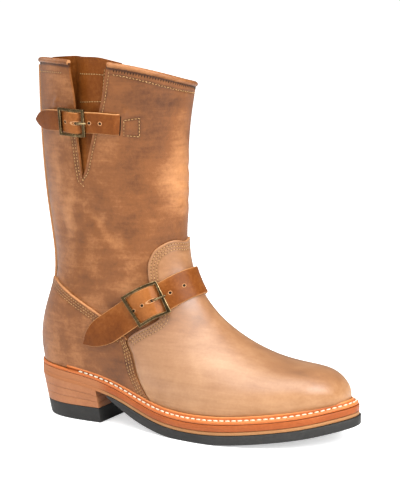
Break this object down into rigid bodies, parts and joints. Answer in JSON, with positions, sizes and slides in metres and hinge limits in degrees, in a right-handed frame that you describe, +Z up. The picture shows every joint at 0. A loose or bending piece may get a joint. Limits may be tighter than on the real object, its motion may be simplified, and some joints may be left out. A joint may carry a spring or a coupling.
{
  "type": "engineer boot",
  "caption": "Right engineer boot in tan leather: slit shaft with a buckled collar strap, buckled instep strap, welted leather sole with a rubber half sole and a stacked heel.",
  "frame": {"origin": "on the floor, under the middle of the bounding box", "axes": "+X to the toe, +Y to the inner side of the foot, +Z up"},
  "size_m": [0.3, 0.1156, 0.3207],
  "materials": {
    "leather": "tan pull-up leather, satin",
    "strap": "orange-brown strap leather, satin",
    "sole_leather": "burnished sole leather",
    "insole": "raw insole leather",
    "rubber": "matt black rubber",
    "brass": "antique brass"
  },
  "bodies": {
    "root": {"upper": "leather", "vamp": "leather", "counter": "leather", "back_seam": "leather", "gusset": "leather", "collar_binding": "leather", "instep_strap": "strap", "instep_chape": "strap", "collar_strap": "strap", "collar_chape": "strap", "heel_lift_1": "sole_leather", "heel_lift_2": "sole_leather", "heel_lift_3": "sole_leather", "runner": "sole_leather", "midsole": "sole_leather", "welt": "sole_leather", "rand": "sole_leather", "insole": "insole", "heel_cap": "rubber", "half_sole": "rubber", "instep_buckle": "brass", "instep_prong": "brass", "collar_buckle": "brass", "collar_prong": "brass"}
  },
  "joints": []
}
